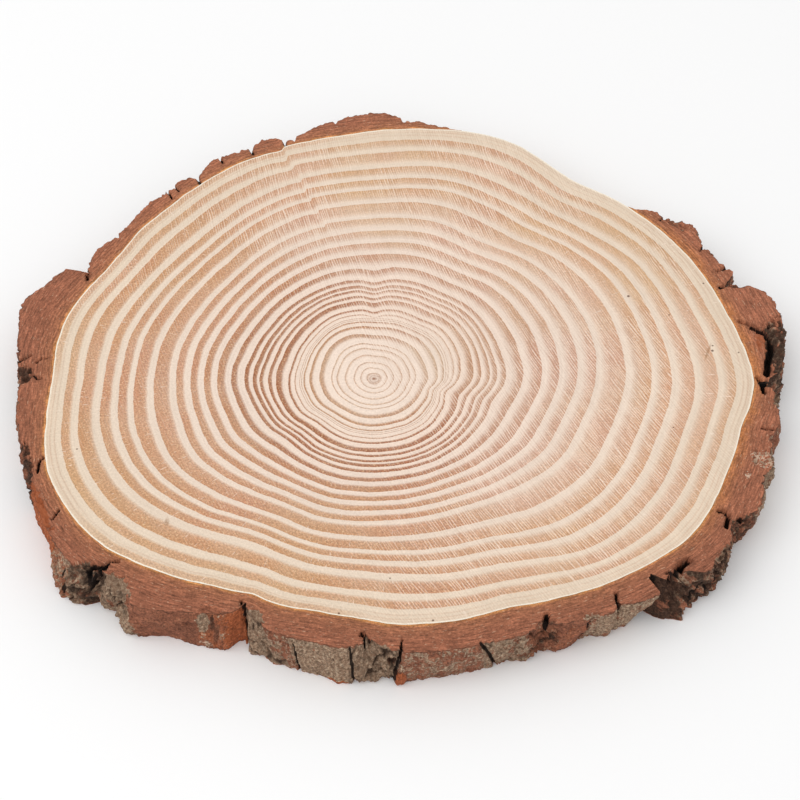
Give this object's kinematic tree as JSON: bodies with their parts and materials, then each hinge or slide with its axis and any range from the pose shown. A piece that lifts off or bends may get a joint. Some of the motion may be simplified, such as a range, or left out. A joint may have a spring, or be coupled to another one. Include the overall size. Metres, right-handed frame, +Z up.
{
  "type": "wood slice",
  "caption": "Round slice sawn across a pine log, with growth rings on both sawn faces and rough bark round the edge; rests flat as a board, stand or craft base",
  "frame": {"origin": "middle of the slice's box, on its underside", "axes": "+Z up through the thickness, +X along the widest way across, +Y away from the thicker front bark"},
  "size_m": [0.3093, 0.2822, 0.02],
  "materials": {
    "wood": "dry sawn pine end grain, pale and tan rings",
    "bark": "rough red-brown pine bark, grey-brown where it is weathered"
  },
  "bodies": {
    "root": {"wood_slice": "wood"}
  },
  "joints": []
}
